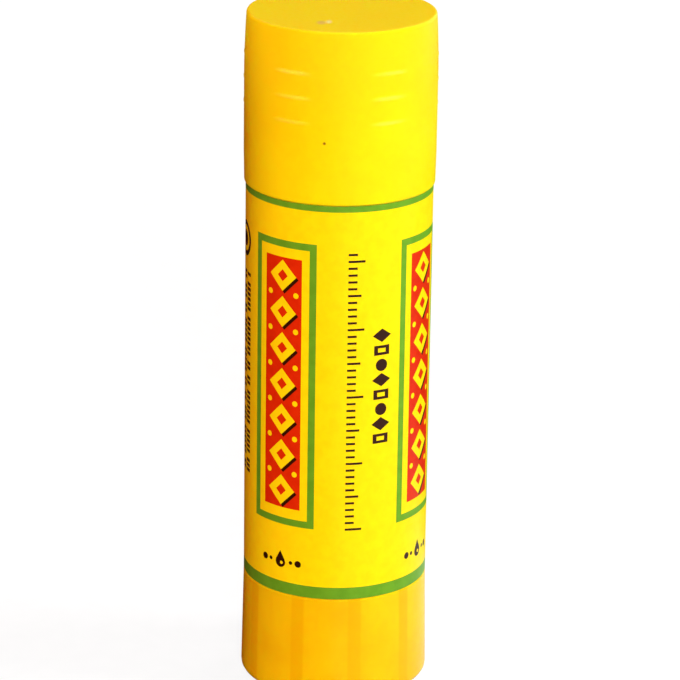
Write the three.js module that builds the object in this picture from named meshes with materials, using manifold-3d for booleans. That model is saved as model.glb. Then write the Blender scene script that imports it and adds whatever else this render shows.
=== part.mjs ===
// A twist-up glue stick, closed, in millimetres with +Z up.
// The foot of the turning knob stands on z = 0 and the label's front faces -Y.
// Every piece is round about the Z axis. Turning the knob turns a left-hand lead screw,
// and the screw lifts a ribbed piston that carries the stick of glue.

import * as THREE from "three";
import { mergeVertices } from "three/addons/utils/BufferGeometryUtils.js";
import Module from "manifold-3d";

const wasm = await Module();
wasm.setup();

// Clearances
const RUNNING_GAP = 0.3; // between pieces that turn past each other
const SLIDING_GAP = 0.1; // round a piece that slides along the axis
const FILM_GAP = 0.02; // between the barrel and the label stuck to it
const SINK = 0.4; // how far an added rib or ridge reaches into the wall that carries it

// Barrel
const BORE_RADIUS = 10.9;
const BARREL_WALL = 2.25;
const BARREL_LENGTH = 59;
const NECK_WALL = 1.3;
const NECK_LENGTH = 15.4;
const NECK_CHAMFER = 0.5;
const BEAD_HEIGHT = 0.2;
const BEAD_WIDTH = 1.2;
const BEAD_BELOW_RIM = 9;
const FLOOR_THICKNESS = 1.8;
const FLOOR_RISE = 0.8;
const SPIGOT_LENGTH = 7.4;
const SPIGOT_WALL = 1.3;
const GUIDE_RIBS = 4;
const GUIDE_RIB_WIDTH = 1.5;
const GUIDE_RIB_HEIGHT = 0.6;
const GUIDE_RIB_BELOW_RIM = 4;

// Label
const LABEL_THICKNESS = 0.13;
const LABEL_MARGIN = 0.1;
const LABEL_OVERLAP = 3.2;
const LABEL_LAP_ANGLE = 105;

// Knob
const KNOB_LENGTH = 15.3;
const KNOB_WALL = 1.3;
const KNOB_FLARE = 0.32;
const KNOB_CORNER = 0.8;
const KNOB_RIM_BEVEL = 0.25;
const FOOT_WIDTH = 2;
const FOOT_DEPTH = 0.9;
const KNOB_FLOOR = 1.6;
const HUB_WALL = 1.9;
const HUB_CORE_RADIUS = 2.4;
const SPOKES = 10;
const FIRST_SPOKE_ANGLE = -77;
const SPOKE_THICKNESS = 1;
const SKIRT_RIB_HEIGHT = 0.15;

// Spindle
const KEY_RADIUS = 2.6;
const KEY_LENGTH = 8.5;
const JOURNAL_RADIUS = 2.95;
const COLLAR_RADIUS = 4.3;
const COLLAR_HEIGHT = 1.8;
const CORE_RADIUS = 2.6;
const THREAD_HEIGHT = 1;
const THREAD_LEAD = 4;
const THREAD_ROOT_WIDTH = 2.2;
const THREAD_CREST_WIDTH = 0.9;
const THREAD_FLAT = 3.25;
const SPINDLE_BELOW_RIM = 6;

// Piston
const PISTON_LENGTH = 9.6;
const PISTON_WALL = 0.8;
const PISTON_LIP = 0.3;
const PISTON_LIP_LENGTH = 1;
const PISTON_DISC = 1.6;
const PISTON_DISC_RISE = 3.6;
const NUT_WALL = 1.7;
const NUT_LENGTH = 8.8;
const GUSSET_THICKNESS = 0.9;

// Glue
const GLUE_BELOW_RIM = 2;
const GLUE_EDGE = 0.9;

// Cap
const CAP_LENGTH = 24.3;
const CAP_WALL = 1.1;
const CAP_RUNNING_GAP = 0.3;
const CAP_SEAT_GAP = 0.2;
const CAP_RIM_DRAFT = 0.08;
const CAP_RIM_DRAFT_LENGTH = 4.5;
const CAP_SHOULDER_LENGTH = 8;
const CAP_SHOULDER_DRAFT = 0.3;
const CAP_CORNER = 0.4;
const CAP_CROWN = 1.5;
const SEAL_WALL = 0.8;
const GRIP_COLUMNS = 6;
const GRIP_ROWS = 3;
const GRIP_PITCH = 3.5;
const GRIP_BELOW_TOP = 6;
const GRIP_SPAN = 28;
const GRIP_HEIGHT = 0.16;
const GRIP_WIDTH = 0.7;

// Facets round a circle
const OUTER_FACETS = 60;
const INNER_FACETS = 40;
const SCREW_FACETS = 16;

// Heights and radii that follow from the sizes above
const barrelRadius = BORE_RADIUS + BARREL_WALL;
const labelInner = barrelRadius + FILM_GAP;
const labelOuter = labelInner + LABEL_THICKNESS;
const neckRadius = BORE_RADIUS + NECK_WALL;
const knobRimRadius = labelOuter;
const knobFootRadius = knobRimRadius + KNOB_FLARE;
const knobBore = knobRimRadius - KNOB_WALL;
const spigotRadius = knobBore - RUNNING_GAP;
const spigotBore = spigotRadius - SPIGOT_WALL;
const capBore = neckRadius + CAP_RUNNING_GAP;
const capRadius = capBore + CAP_WALL;

const bodyBottom = KNOB_LENGTH + RUNNING_GAP;
const shoulder = bodyBottom + BARREL_LENGTH;
const neckTop = shoulder + NECK_LENGTH;
const spigotBottom = bodyBottom - SPIGOT_LENGTH;
const floorBottom = bodyBottom + FLOOR_RISE;
const floorTop = floorBottom + FLOOR_THICKNESS;
const guideRibTop = neckTop - GUIDE_RIB_BELOW_RIM;
const guideRibInner = BORE_RADIUS - GUIDE_RIB_HEIGHT;

const collarBottom = floorTop + RUNNING_GAP;
const collarTop = collarBottom + COLLAR_HEIGHT;
const spindleTop = neckTop - SPINDLE_BELOW_RIM;
const crestRadius = CORE_RADIUS + THREAD_HEIGHT;
const hubTop = floorBottom - RUNNING_GAP;
const hubRadius = KEY_RADIUS + SLIDING_GAP + HUB_WALL;
const keyBottom = hubTop - KEY_LENGTH;

const pistonBottom = collarTop + RUNNING_GAP;
const pistonTop = pistonBottom + PISTON_LENGTH;
const pistonLipRadius = BORE_RADIUS - SLIDING_GAP;
const pistonRadius = pistonLipRadius - PISTON_LIP;
const pistonBore = pistonRadius - PISTON_WALL;
const discBottom = pistonBottom + PISTON_DISC_RISE;
const discTop = discBottom + PISTON_DISC;
const nutBore = CORE_RADIUS + RUNNING_GAP;
const nutRadius = crestRadius + RUNNING_GAP + NUT_WALL;
const nutTop = pistonBottom + NUT_LENGTH;

const glueTop = neckTop - GLUE_BELOW_RIM;
const glueRadius = BORE_RADIUS - SLIDING_GAP;
const glueHole = crestRadius + RUNNING_GAP;

const capBottom = shoulder + CAP_SEAT_GAP;
const capTop = capBottom + CAP_LENGTH;
const capCeiling = capTop - CAP_CROWN;
const beadHeight = neckTop - BEAD_BELOW_RIM;
const gripHeights = Array.from(
  { length: GRIP_ROWS },
  (_, row) => capTop - GRIP_BELOW_TOP - row * GRIP_PITCH,
);

// A closed three.js geometry as a solid that can be joined and cut
function solidOf(geometry) {
  const bare = geometry.clone();
  bare.deleteAttribute("normal");
  bare.deleteAttribute("uv");
  const merged = mergeVertices(bare, 1e-4);
  const corners = Array.from(merged.index.array);
  const triangles = [];
  for (let i = 0; i < corners.length; i += 3) {
    const [a, b, c] = corners.slice(i, i + 3);
    const hasArea = a !== b && b !== c && c !== a;
    if (hasArea) triangles.push(a, b, c);
  }
  const mesh = new wasm.Mesh({
    numProp: 3,
    vertProperties: new Float32Array(merged.attributes.position.array),
    triVerts: new Uint32Array(triangles),
  });
  return new wasm.Manifold(mesh);
}

function geometryOf(solid) {
  const mesh = solid.getMesh();
  const geometry = new THREE.BufferGeometry();
  geometry.setAttribute("position", new THREE.BufferAttribute(mesh.vertProperties, 3));
  geometry.setIndex(new THREE.BufferAttribute(mesh.triVerts, 1));
  geometry.computeVertexNormals();
  return geometry;
}

// An outline turned about Z. It lists [radius, height] corners with the material on the
// left of the path: up along an outer wall and down along an inner one.
function revolved(outline, facets = OUTER_FACETS) {
  const points = outline.map(([radius, height]) => new THREE.Vector2(radius, height));
  points.push(points[0].clone());
  return new THREE.LatheGeometry(points, facets).rotateX(Math.PI / 2);
}

function turned(outline, facets = OUTER_FACETS) {
  return solidOf(revolved(outline, facets));
}

function cylinder(radius, bottom, top, facets = OUTER_FACETS) {
  return turned([[0, bottom], [radius, bottom], [radius, top], [0, top]], facets);
}

// Points on a quarter round of an outline, from one angle to another in degrees
function arc(centreRadius, centreHeight, radius, from, to, steps = 3) {
  const points = [];
  for (let i = 0; i <= steps; i++) {
    const angle = THREE.MathUtils.degToRad(from + ((to - from) * i) / steps);
    const r = centreRadius + radius * Math.cos(angle);
    const z = centreHeight + radius * Math.sin(angle);
    points.push([r, z]);
  }
  return points;
}

// A flat bar that lies along a radius, from one radius to another, turned about Z
function radialBar(inner, outer, width, bottom, top, angle) {
  const bar = new THREE.BoxGeometry(outer - inner, width, top - bottom);
  bar.translate((inner + outer) / 2, 0, (bottom + top) / 2);
  bar.rotateZ(THREE.MathUtils.degToRad(angle));
  return solidOf(bar);
}

function evenAngles(count, first) {
  return Array.from({ length: count }, (_, i) => first + (i * 360) / count);
}

// Rings of points, all of one length, skinned into a closed body with flat ends
function skinned(rings) {
  const sides = rings[0].length;
  const index = [];
  for (let i = 0; i + 1 < rings.length; i++) {
    for (let j = 0; j < sides; j++) {
      const a = i * sides + j;
      const b = i * sides + ((j + 1) % sides);
      index.push(a, b, b + sides, a, b + sides, a + sides);
    }
  }
  const last = (rings.length - 1) * sides;
  for (let j = 1; j + 1 < sides; j++) {
    index.push(0, j + 1, j);
    index.push(last, last + j, last + j + 1);
  }
  const geometry = new THREE.BufferGeometry();
  geometry.setAttribute("position", new THREE.Float32BufferAttribute(rings.flat(2), 3));
  geometry.setIndex(index);
  return solidOf(geometry);
}

// The ridge of a left-hand thread. It climbs one lead for each turn, clockwise seen from
// above, and starts and ends sunk in the core when it runs out over half a turn.
function threadRidge(bottom, top, crest, rootWidth, crestWidth, runsOut) {
  const root = CORE_RADIUS - SINK;
  const first = Math.floor(((bottom - floorTop) / THREAD_LEAD) * SCREW_FACETS);
  const last = Math.ceil(((top - floorTop) / THREAD_LEAD) * SCREW_FACETS);
  const runOut = SCREW_FACETS / 2;
  const rings = [];
  for (let step = first; step <= last; step++) {
    const turn = step / SCREW_FACETS;
    const angle = -2 * Math.PI * turn;
    const height = floorTop + THREAD_LEAD * turn;
    const rise = runsOut ? Math.min(1, (step - first) / runOut, (last - step) / runOut) : 1;
    const tip = THREE.MathUtils.lerp(root + SINK / 2, crest, rise);
    const section = [
      [root, -rootWidth / 2],
      [tip, -crestWidth / 2],
      [tip, crestWidth / 2],
      [root, rootWidth / 2],
    ];
    rings.push(section.map(([r, z]) => [r * Math.cos(angle), r * Math.sin(angle), height + z]));
  }
  return skinned(rings);
}

// Straight tube under the label, with a stepped neck for the cap, four guide ribs in the
// bore, a floor that carries the spindle, and a spigot that reaches down into the knob.
function buildBarrel() {
  let barrel = turned([
    [JOURNAL_RADIUS + RUNNING_GAP, floorBottom],
    [spigotBore, floorBottom],
    [spigotBore, spigotBottom],
    [spigotRadius - NECK_CHAMFER, spigotBottom],
    [spigotRadius, spigotBottom + NECK_CHAMFER],
    [spigotRadius, bodyBottom],
    [barrelRadius, bodyBottom],
    [barrelRadius, shoulder],
    [neckRadius, shoulder],
    [neckRadius, beadHeight - BEAD_WIDTH / 2],
    [neckRadius + BEAD_HEIGHT, beadHeight - BEAD_WIDTH / 6],
    [neckRadius + BEAD_HEIGHT, beadHeight + BEAD_WIDTH / 6],
    [neckRadius, beadHeight + BEAD_WIDTH / 2],
    [neckRadius, neckTop - NECK_CHAMFER],
    [neckRadius - NECK_CHAMFER, neckTop],
    [BORE_RADIUS, neckTop],
    [BORE_RADIUS, floorTop],
    [JOURNAL_RADIUS + RUNNING_GAP, floorTop],
  ]);
  for (const angle of evenAngles(GUIDE_RIBS, 45)) {
    const outer = BORE_RADIUS + SINK;
    const bottom = floorTop - SINK;
    barrel = barrel.add(
      radialBar(guideRibInner, outer, GUIDE_RIB_WIDTH, bottom, guideRibTop, angle),
    );
  }
  return barrel;
}

// Printed film round the barrel, with its free end lapped over the start at the back
function buildLabel() {
  const bottom = bodyBottom + LABEL_MARGIN;
  const top = shoulder - LABEL_MARGIN;
  const film = turned([
    [labelInner, bottom],
    [labelOuter, bottom],
    [labelOuter, top],
    [labelInner, top],
  ]);
  const lapEnd = labelOuter + LABEL_THICKNESS;
  const lap = turned([
    [labelOuter - LABEL_THICKNESS / 2, bottom],
    [lapEnd, bottom],
    [lapEnd, top],
    [labelOuter - LABEL_THICKNESS / 2, top],
  ]);
  const strip = radialBar(BORE_RADIUS, lapEnd + SINK, LABEL_OVERLAP, bottom, top, LABEL_LAP_ANGLE);
  return film.add(lap.intersect(strip));
}

// Cup that is gripped and turned: a flared skirt on a foot ring, a recessed floor, and a
// hub tied to the skirt by spokes, each of which goes on up the skirt as a low rib. The
// hub's hexagonal socket drives the spindle, and the hub is cored out from below, so that
// its moulding cools evenly.
function buildKnob() {
  const floorUnder = FOOT_DEPTH;
  const floorUpper = FOOT_DEPTH + KNOB_FLOOR;
  const footInner = knobFootRadius - FOOT_WIDTH;
  const socketBottom = keyBottom - RUNNING_GAP;
  const coreTop = socketBottom - KNOB_FLOOR;
  let knob = turned([
    [0, coreTop],
    [HUB_CORE_RADIUS, coreTop],
    [HUB_CORE_RADIUS, floorUnder],
    [footInner - FOOT_DEPTH / 2, floorUnder],
    [footInner, 0],
    ...arc(knobFootRadius - KNOB_CORNER, KNOB_CORNER, KNOB_CORNER, -90, 0),
    [knobRimRadius, KNOB_LENGTH - KNOB_RIM_BEVEL],
    [knobRimRadius - KNOB_RIM_BEVEL, KNOB_LENGTH],
    [knobBore, KNOB_LENGTH],
    [knobBore, floorUpper],
    [hubRadius, floorUpper],
    [hubRadius, hubTop],
    [0, hubTop],
  ]);
  const spokeTop = spigotBottom - RUNNING_GAP;
  const ribInner = knobBore - SKIRT_RIB_HEIGHT;
  const ribTop = KNOB_LENGTH - KNOB_CORNER;
  for (const angle of evenAngles(SPOKES, FIRST_SPOKE_ANGLE)) {
    const outer = knobBore + SINK;
    const bottom = floorUpper - SINK;
    const inner = KEY_RADIUS + SINK;
    const spoke = radialBar(inner, outer, SPOKE_THICKNESS, bottom, spokeTop, angle);
    const rib = radialBar(ribInner, outer, SPOKE_THICKNESS, bottom, ribTop, angle);
    knob = knob.add(spoke).add(rib);
  }
  const socketTop = hubTop + SINK;
  return knob.subtract(cylinder(KEY_RADIUS + SLIDING_GAP, socketBottom, socketTop, 6));
}

// Lead screw: a hexagonal key for the knob, a journal and collar that run in the barrel's
// floor, and a coarse left-hand thread with the two flats of its mould's parting line.
function buildSpindle() {
  const shaft = turned(
    [
      [0, hubTop],
      [JOURNAL_RADIUS, hubTop],
      [JOURNAL_RADIUS, collarBottom],
      [COLLAR_RADIUS, collarBottom],
      [COLLAR_RADIUS, collarTop - COLLAR_HEIGHT / 2],
      [CORE_RADIUS, collarTop],
      [CORE_RADIUS, spindleTop - CORE_RADIUS / 2],
      [CORE_RADIUS / 2, spindleTop],
      [0, spindleTop],
    ],
    SCREW_FACETS,
  );
  const key = cylinder(KEY_RADIUS, keyBottom, hubTop + SINK, 6);
  const ridgeBottom = collarTop + THREAD_ROOT_WIDTH / 2;
  const ridgeTop = spindleTop - CORE_RADIUS;
  const ridge = threadRidge(
    ridgeBottom,
    ridgeTop,
    crestRadius,
    THREAD_ROOT_WIDTH,
    THREAD_CREST_WIDTH,
    true,
  );
  const reach = 2 * crestRadius;
  const parting = radialBar(-reach, reach, 2 * THREAD_FLAT, collarTop, spindleTop, 0);
  return shaft.add(key).add(ridge.intersect(parting));
}

// Carrier of the glue: a cup with two sealing lips, notched for the guide ribs, and a nut
// in its middle whose thread matches the spindle.
function buildPiston() {
  let piston = turned(
    [
      [nutBore, pistonBottom],
      [nutRadius, pistonBottom],
      [nutRadius, discBottom],
      [pistonBore, discBottom],
      [pistonBore, pistonBottom],
      [pistonLipRadius, pistonBottom],
      [pistonLipRadius, pistonBottom + PISTON_LIP_LENGTH],
      [pistonRadius, pistonBottom + PISTON_LIP_LENGTH + PISTON_LIP],
      [pistonRadius, pistonTop - PISTON_LIP_LENGTH - PISTON_LIP],
      [pistonLipRadius, pistonTop - PISTON_LIP_LENGTH],
      [pistonLipRadius, pistonTop],
      [pistonBore, pistonTop],
      [pistonBore, discTop],
      [nutRadius, discTop],
      [nutRadius, nutTop],
      [nutBore, nutTop],
    ],
    INNER_FACETS,
  );
  for (const angle of evenAngles(GUIDE_RIBS, 0)) {
    const inner = nutRadius - SINK;
    const outer = pistonBore + SINK;
    const top = discBottom + SINK;
    const bottom = pistonBottom + PISTON_LIP_LENGTH;
    piston = piston.add(radialBar(inner, outer, GUSSET_THICKNESS, bottom, top, angle));
  }
  for (const angle of evenAngles(GUIDE_RIBS, 45)) {
    piston = piston.subtract(guideNotch(pistonBottom - SINK, pistonTop + SINK, angle));
  }
  const groove = threadRidge(
    pistonBottom - THREAD_LEAD,
    nutTop + THREAD_LEAD,
    crestRadius + RUNNING_GAP,
    THREAD_ROOT_WIDTH + 2 * RUNNING_GAP,
    THREAD_CREST_WIDTH + 2 * RUNNING_GAP,
    false,
  );
  return piston.subtract(groove);
}

// Room for one guide rib, cut into whatever slides past it
function guideNotch(bottom, top, angle) {
  const inner = guideRibInner - SLIDING_GAP;
  const width = GUIDE_RIB_WIDTH + 2 * SLIDING_GAP;
  return radialBar(inner, BORE_RADIUS + SINK, width, bottom, top, angle);
}

// The glue, cast into the piston's cup and round the nut, grooved by the guide ribs and
// bored for the spindle up to just under its soft, rounded end.
function buildGlue() {
  const footRadius = pistonBore - SLIDING_GAP;
  const footBottom = discTop + SLIDING_GAP;
  const footTop = pistonTop + SLIDING_GAP;
  const nutRoom = nutRadius + SLIDING_GAP;
  const nutRoomTop = nutTop + SLIDING_GAP;
  const holeTop = spindleTop + RUNNING_GAP;
  let glue = turned(
    [
      [nutRoom, footBottom],
      [footRadius, footBottom],
      [footRadius, footTop],
      [glueRadius, footTop],
      ...arc(glueRadius - GLUE_EDGE, glueTop - GLUE_EDGE, GLUE_EDGE, 0, 90),
      [0, glueTop],
      [0, holeTop + glueHole / 4],
      [glueHole, holeTop],
      [glueHole, nutRoomTop],
      [nutRoom, nutRoomTop],
    ],
    INNER_FACETS,
  );
  for (const angle of evenAngles(GUIDE_RIBS, 45)) {
    glue = glue.subtract(guideNotch(footTop - SINK, guideRibTop + SLIDING_GAP, angle));
  }
  return glue;
}

// Radius of the cap's outer wall: drafted at the rim and again towards the crown
function capWallRadius(height) {
  const fromRim = (height - capBottom) / CAP_RIM_DRAFT_LENGTH;
  const fromTop = (capTop - height) / CAP_SHOULDER_LENGTH;
  const rimDraft = CAP_RIM_DRAFT * Math.max(0, 1 - fromRim);
  const crownDraft = CAP_SHOULDER_DRAFT * Math.max(0, 1 - fromTop);
  return capRadius - rimDraft - crownDraft;
}

// The cap's grip: short raised lines in columns, each a lens that fades out at both ends.
// The outline has corners along each line, and those are pushed outwards.
function raiseGrip(geometry) {
  const columnAngle = 360 / GRIP_COLUMNS;
  const outside = capBore + CAP_WALL / 2;
  const position = geometry.attributes.position;
  for (let i = 0; i < position.count; i++) {
    const [x, y, z] = [position.getX(i), position.getY(i), position.getZ(i)];
    const radius = Math.hypot(x, y);
    const onCrest = gripHeights.some((height) => Math.abs(z - height) < GRIP_WIDTH / 4);
    if (radius < outside || !onCrest) continue;
    const angle = THREE.MathUtils.radToDeg(Math.atan2(y, x));
    const offset = angle - columnAngle * Math.round(angle / columnAngle);
    const fade = Math.max(0, 1 - ((2 * offset) / GRIP_SPAN) ** 2);
    const stretch = 1 + (GRIP_HEIGHT * fade) / radius;
    position.setXY(i, x * stretch, y * stretch);
  }
  return geometry;
}

// Push-on cap: drafted outside with a rounded crown and grip lines, a groove inside for
// the neck's bead, and a thin seal ring that hangs from the crown over the neck's rim.
function buildCap() {
  const outerHeights = [
    capBottom,
    capBottom + CAP_RIM_DRAFT_LENGTH,
    capTop - CAP_SHOULDER_LENGTH,
  ];
  for (const height of gripHeights) {
    for (const share of [-1 / 2, -1 / 6, 1 / 6, 1 / 2]) {
      outerHeights.push(height + share * GRIP_WIDTH);
    }
  }
  outerHeights.sort((a, b) => a - b);
  const cornerHeight = capTop - CAP_CORNER;
  const cornerCentre = capWallRadius(cornerHeight) - CAP_CORNER;
  const innerWaist = capCeiling - CAP_SHOULDER_LENGTH / 2;
  const sealInner = BORE_RADIUS + SLIDING_GAP;
  const sealBottom = neckTop + RUNNING_GAP;
  const shell = revolved([
    ...outerHeights.map((height) => [capWallRadius(height), height]),
    ...arc(cornerCentre, cornerHeight, CAP_CORNER, 0, 90, 4),
    [0, capTop],
    [0, capCeiling],
    [sealInner, capCeiling],
    [sealInner, sealBottom],
    [sealInner + SEAL_WALL / 2, sealBottom],
    [sealInner + SEAL_WALL, capCeiling],
    [capBore - CAP_SHOULDER_DRAFT, capCeiling],
    [capBore, innerWaist],
    [capBore, beadHeight + BEAD_WIDTH / 2],
    [capBore + BEAD_HEIGHT, beadHeight + BEAD_WIDTH / 6],
    [capBore + BEAD_HEIGHT, beadHeight - BEAD_WIDTH / 6],
    [capBore, beadHeight - BEAD_WIDTH / 2],
    [capBore, capBottom + NECK_CHAMFER],
    [capBore + NECK_CHAMFER / 2, capBottom],
  ]);
  return solidOf(raiseGrip(shell));
}

function piece(name, solid, color, roughness, opacity = 1) {
  const material = new THREE.MeshStandardMaterial({
    color,
    roughness,
    metalness: 0,
    opacity,
    transparent: opacity < 1,
    flatShading: true,
  });
  const mesh = new THREE.Mesh(geometryOf(solid), material);
  mesh.name = name;
  return mesh;
}

const glueStick = new THREE.Group();
glueStick.name = "glue_stick";
glueStick.add(
  piece("barrel", buildBarrel(), 0xf0b414, 0.45),
  piece("label", buildLabel(), 0xffe11e, 0.4),
  piece("knob", buildKnob(), 0xe6a008, 0.35, 0.9),
  piece("spindle", buildSpindle(), 0xf2efe6, 0.4),
  piece("piston", buildPiston(), 0xf2efe6, 0.45),
  piece("glue", buildGlue(), 0xf4f1e4, 0.6),
  piece("cap", buildCap(), 0xfdd106, 0.35),
);

export default glueStick;
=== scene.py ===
# %% [markdown]
# # A twist-up glue stick
# This is a round plastic tube with a printed label, a push-on cap and a knob at the foot.
# Turning the knob turns a screw inside, which lifts the stick of glue. The CAD model has
# every piece at its true size and place. This lesson gives those that show their fine shape
# and finish. It starts by loading the model and noting its box, because nothing added later
# may grow out of it.

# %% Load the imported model
import math
import random

import bpy
from mathutils import Matrix, Vector
from mathutils.geometry import delaunay_2d_cdt


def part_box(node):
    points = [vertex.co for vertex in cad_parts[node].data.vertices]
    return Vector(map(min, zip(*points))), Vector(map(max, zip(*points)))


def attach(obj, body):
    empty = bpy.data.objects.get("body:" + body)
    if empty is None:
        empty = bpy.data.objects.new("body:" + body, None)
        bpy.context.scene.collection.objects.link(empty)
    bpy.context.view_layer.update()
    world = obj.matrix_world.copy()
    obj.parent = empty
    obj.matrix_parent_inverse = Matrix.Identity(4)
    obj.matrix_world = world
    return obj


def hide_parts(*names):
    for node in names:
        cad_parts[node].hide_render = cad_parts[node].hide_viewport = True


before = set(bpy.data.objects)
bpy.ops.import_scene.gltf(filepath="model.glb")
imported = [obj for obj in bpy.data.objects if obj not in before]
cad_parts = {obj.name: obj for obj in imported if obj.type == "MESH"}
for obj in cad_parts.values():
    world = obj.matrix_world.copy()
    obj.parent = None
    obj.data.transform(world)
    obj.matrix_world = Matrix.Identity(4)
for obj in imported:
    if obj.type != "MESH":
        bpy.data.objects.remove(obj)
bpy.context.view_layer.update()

for name in sorted(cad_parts):
    low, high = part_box(name)
    print(f"{name}: from {low.z * 1000:.1f} to {high.z * 1000:.1f} mm above the table")

# %% [markdown]
# ## The camera
# The photograph was taken from the front, a little above the cap, with a long lens: the
# sides of the tube hardly draw together towards the foot. A camera is easiest to place by
# its own three directions: where it looks, and what is right and up in the picture. The
# small roll is in the photograph too, since the stick leans slightly to the left in it.

# %% Place the camera
CAMERA_PLACE = Vector((0, -0.4733, 0.2138))
CAMERA_PITCH = math.radians(19.04)
CAMERA_YAW = math.radians(0.044)
CAMERA_ROLL = math.radians(0.816)
SENSOR_WIDTH, LENS_LENGTH = 36, 184.49

ahead = Vector((
    math.sin(CAMERA_YAW) * math.cos(CAMERA_PITCH),
    math.cos(CAMERA_YAW) * math.cos(CAMERA_PITCH),
    -math.sin(CAMERA_PITCH),
))
level_right = ahead.cross(Vector((0, 0, 1))).normalized()
level_up = level_right.cross(ahead)
right = math.cos(CAMERA_ROLL) * level_right + math.sin(CAMERA_ROLL) * level_up
up = math.cos(CAMERA_ROLL) * level_up - math.sin(CAMERA_ROLL) * level_right


def put_in_scene(name, data):
    made = bpy.data.objects.new(name, data)
    bpy.context.scene.collection.objects.link(made)
    return made


lens = bpy.data.cameras.new("camera")
lens.sensor_width = SENSOR_WIDTH
lens.lens = LENS_LENGTH
camera = put_in_scene("camera", lens)
camera.matrix_world = (
    Matrix.Translation(CAMERA_PLACE) @ Matrix((right, up, -ahead)).transposed().to_4x4()
)
bpy.context.scene.camera = camera
print(f"the camera stands {CAMERA_PLACE.length * 1000:.0f} mm from the foot of the stick")

# %% [markdown]
# ## Turning an outline
# Nearly every piece of a glue stick is moulded round one axis, so one helper makes most of
# them: it turns an outline of radius and height about Z. Blender's Screw modifier could do
# that too. Doing it in code lets the wall go in or out by its angle, which is how the ribs,
# grooves and grip lines get on to the same closed skin.
# Moulds have no knife-sharp corners, and light catches on the small rounds that they do
# have. So a second helper eases each corner of the outline first. A corner that is nearly
# straight stays as it is, and a round never takes up a whole edge.

# %% Ease the corners of an outline
MM = 0.001
EASING_STEPS = 4
NEARLY_STRAIGHT = 0.01
SHARE_OF_EDGE = 0.45


def eased(outline):
    """Rows of (radius, height, easing) in mm, as a closed outline with rounded corners."""
    points = []
    for i, (radius, height, easing) in enumerate(outline):
        corner = Vector((radius, height))
        before = Vector(outline[i - 1][:2]) - corner
        after = Vector(outline[(i + 1) % len(outline)][:2]) - corner
        turn = math.pi - before.angle(after)
        if easing == 0 or turn < NEARLY_STRAIGHT:
            points.append(corner)
            continue
        longest = SHARE_OF_EDGE * min(before.length, after.length)
        reach = min(easing * math.tan(turn / 2), longest)
        start = corner + reach * before.normalized()
        end = corner + reach * after.normalized()
        for step in range(EASING_STEPS + 1):
            t = step / EASING_STEPS
            points.append((1 - t) ** 2 * start + 2 * t * (1 - t) * corner + t**2 * end)
    return points


print(f"an eased corner becomes {EASING_STEPS + 1} points")

# %% [markdown]
# The turning helper joins each point of the outline to the next with a band of faces. A
# point on the axis becomes a single corner with a fan round it. The outline runs up along
# an outer wall and down along an inner one, so that all faces look outwards.

# %% Turn an outline into a closed skin
SLICES = 192
FULL_TURN = 2 * math.pi
HAIR = 1e-6  # the slack that rounding needs


def even_slices(count=SLICES):
    return [FULL_TURN * i / count for i in range(count)]


def new_object(name, corners, faces):
    """Corners in metres, and faces as rows of corner numbers, as a piece in the scene."""
    mesh = bpy.data.meshes.new(name)
    mesh.from_pydata(corners, [], faces)
    mesh.shade_smooth()
    return put_in_scene(name, mesh)


def turned(name, outline, slices, offset):
    """offset(angle, radius, height) in mm moves the wall out where it is above zero."""
    corners = []
    rings = []
    for radius, height in outline:
        if radius < HAIR:
            rings.append([len(corners)] * len(slices))
            corners.append((0, 0, height * MM))
            continue
        rings.append(range(len(corners), len(corners) + len(slices)))
        for angle in slices:
            r = radius + offset(angle, radius, height)
            corners.append((r * math.cos(angle) * MM, r * math.sin(angle) * MM, height * MM))
    faces = []
    for i, ring in enumerate(rings):
        above = rings[(i + 1) % len(rings)]
        for j in range(len(slices)):
            k = (j + 1) % len(slices)
            around = dict.fromkeys((ring[j], ring[k], above[k], above[j]))
            if len(around) > 2:
                faces.append(tuple(around))
    made = new_object(name, corners, faces)
    print(f"{name}: {len(corners)} corners, {len(faces)} faces")
    return made


def crisp(piece):
    """Let the large faces of a piece decide how light falls on it, and the rounds turn."""
    shading = piece.modifiers.new("crisp shading", "WEIGHTED_NORMAL")
    shading.keep_sharp = True
    return piece


print(f"a full turn has {SLICES} slices")

# %% [markdown]
# Ribs and grooves run straight up a wall, at even angles. One helper says how far an angle
# is from the nearest of them, one makes the offset that raises or sinks them, and one adds
# slices at their edges, so that a rib gets clean sides instead of one slanting face.

# %% Angles round the axis
EDGE_BLEND = math.radians(0.35)
CLOSE = 0.01  # mm, too little to tell two walls apart


def from_front(angle, radius, height):
    """A place by its angle round the axis, from the front to the right."""
    return Vector((radius * math.sin(angle), -radius * math.cos(angle), height))


def off_centre(angle, count, first):
    """The angle from the nearest of some evenly spaced ribs."""
    pitch = FULL_TURN / count
    return (angle - first + pitch / 2) % pitch - pitch / 2


def ribs_on(wall, top, rise, count, first, half_angle):
    """An offset that is the rise on the ribs of one wall, up to their top, and 0 elsewhere."""
    def offset(angle, radius, height):
        if abs(radius - wall) > CLOSE or height > top + CLOSE:
            return 0
        return rise if abs(off_centre(angle, count, first)) < half_angle + HAIR else 0

    return offset


def ribbed_slices(count, first, half_angle):
    """Even slices, which give way near each rib to its own."""
    slices = set(even_slices())
    clear = half_angle + 2 * EDGE_BLEND
    for rib in range(count):
        centre = first + rib * FULL_TURN / count
        slices = {angle for angle in slices if abs(off_centre(angle, 1, centre)) > clear}
        slices.add(centre % FULL_TURN)
        for edge in (half_angle / 2, half_angle, half_angle + EDGE_BLEND):
            slices |= {(centre - edge) % FULL_TURN, (centre + edge) % FULL_TURN}
    return sorted(slices)


print(len(ribbed_slices(4, 0, 4 * EDGE_BLEND)), "slices for a wall with 4 ribs")

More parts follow.
